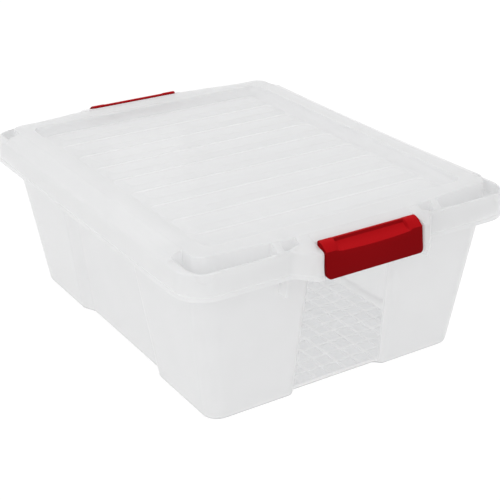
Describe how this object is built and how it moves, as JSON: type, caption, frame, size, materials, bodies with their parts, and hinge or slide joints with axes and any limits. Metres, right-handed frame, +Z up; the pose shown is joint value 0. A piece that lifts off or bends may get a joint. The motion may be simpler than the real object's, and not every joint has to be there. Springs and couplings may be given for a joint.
{
  "type": "stackable storage bin",
  "caption": "See-through tapered storage bin with a sunken-tray stacking lid and swinging end clips that double as handles.",
  "frame": {"origin": "middle of the base, on the surface the bin stands on", "axes": "+Z up, X along the long side with a clip at each end, Y across"},
  "size_m": [0.5212, 0.39, 0.1923],
  "materials": {
    "clear_body": "frosted see-through",
    "clear_lid": "frosted see-through",
    "red_clip": "satin moulded"
  },
  "bodies": {
    "tub": {"tub": "clear_body"},
    "lid": {"lid": "clear_lid"},
    "right_clip": {"right_clip": "red_clip"},
    "left_clip": {"left_clip": "red_clip"}
  },
  "joints": [
    {"name": "lid_lift", "type": "slide", "parent": "tub", "child": "lid", "axis": [0, 0, 1], "range_m": [0, 0.2]},
    {"name": "right_clip_swing", "type": "hinge", "parent": "lid", "child": "right_clip", "pos_m": [0.247, 0, 0.1838], "axis": [0, -1, 0], "range_deg": [0, 100]},
    {"name": "left_clip_swing", "type": "hinge", "parent": "lid", "child": "left_clip", "pos_m": [-0.247, 0, 0.1838], "axis": [0, 1, 0], "range_deg": [0, 100]}
  ]
}
